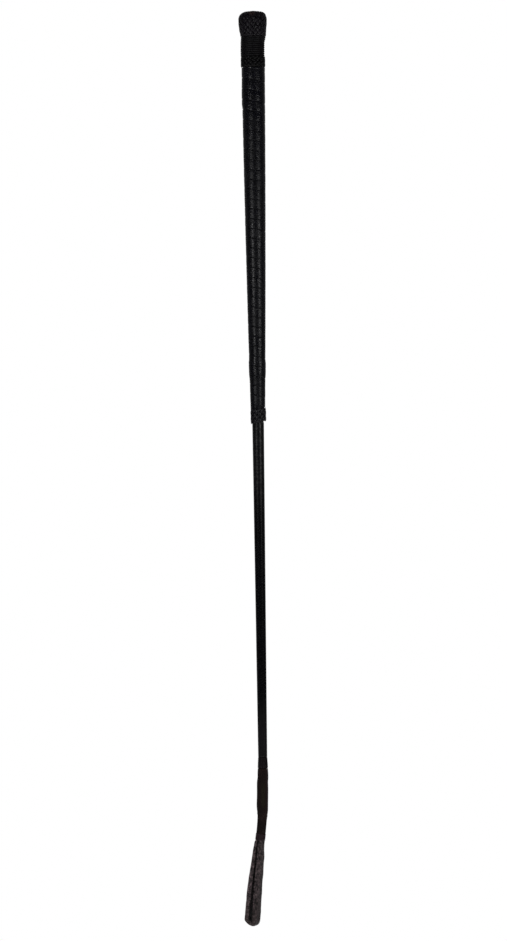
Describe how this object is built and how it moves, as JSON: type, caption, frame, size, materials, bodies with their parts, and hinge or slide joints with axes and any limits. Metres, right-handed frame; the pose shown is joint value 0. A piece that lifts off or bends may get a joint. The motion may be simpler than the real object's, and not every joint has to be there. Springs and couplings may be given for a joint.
{
  "type": "riding crop",
  "caption": "Black leather riding crop: knobbed handle with a spirally wound grip, slim tapering braided shaft, and a folded leather tongue that flexes at the tip.",
  "frame": {"origin": "on the rod's axis in the middle of the grip, 175 mm below the knob's top, where a hand holds it", "axes": "+Z runs along the rod from the tongue up to the knob's crown; -Y is the side that the picture shows, with +X to its right"},
  "size_m": [0.0265, 0.0214, 0.6999],
  "materials": {
    "fibreglass": "ground fibreglass rod",
    "turned_wood": "turned hardwood, stained black",
    "black_leather": "smooth black strap leather, satin",
    "black_lace_leather": "thin black lace leather, satin",
    "worn_crown_leather": "black leather rubbed to reddish brown",
    "underlay_leather": "undyed split leather",
    "waxed_thread": "black waxed thread",
    "lacquered_braid": "fine black braid, lacquered",
    "keeper_leather": "matte brownish black leather",
    "strap_leather": "matte dark strap leather, slightly faded"
  },
  "bodies": {
    "crop": {"core_rod": "fibreglass", "knob_former": "turned_wood", "knob_skin": "black_leather", "knob_lace": "black_lace_leather", "crown_disc": "worn_crown_leather", "collar_whipping": "waxed_thread", "grip_top_lashing": "waxed_thread", "ring_lace": "black_lace_leather", "handle_core": "turned_wood", "grip_underlay": "underlay_leather", "grip_strip": "black_leather", "grip_end_lashing": "waxed_thread", "lower_knot_lace": "black_lace_leather", "shaft_cover": "lacquered_braid", "keeper_whipping": "waxed_thread", "keeper_sleeve": "keeper_leather", "strap_tail_front": "strap_leather", "strap_tail_back": "strap_leather"},
    "tongue": {"sleeve_neck": "keeper_leather", "neck_binding": "waxed_thread", "tongue_strap": "strap_leather"}
  },
  "joints": [
    {"name": "tongue_flex", "type": "hinge", "parent": "crop", "child": "tongue", "pos_m": [0, 0, -0.4385], "axis": [0.4226, 0.9063, 0], "range_deg": [-75, 55], "stiffness_Nm_per_rad": 0.03}
  ]
}
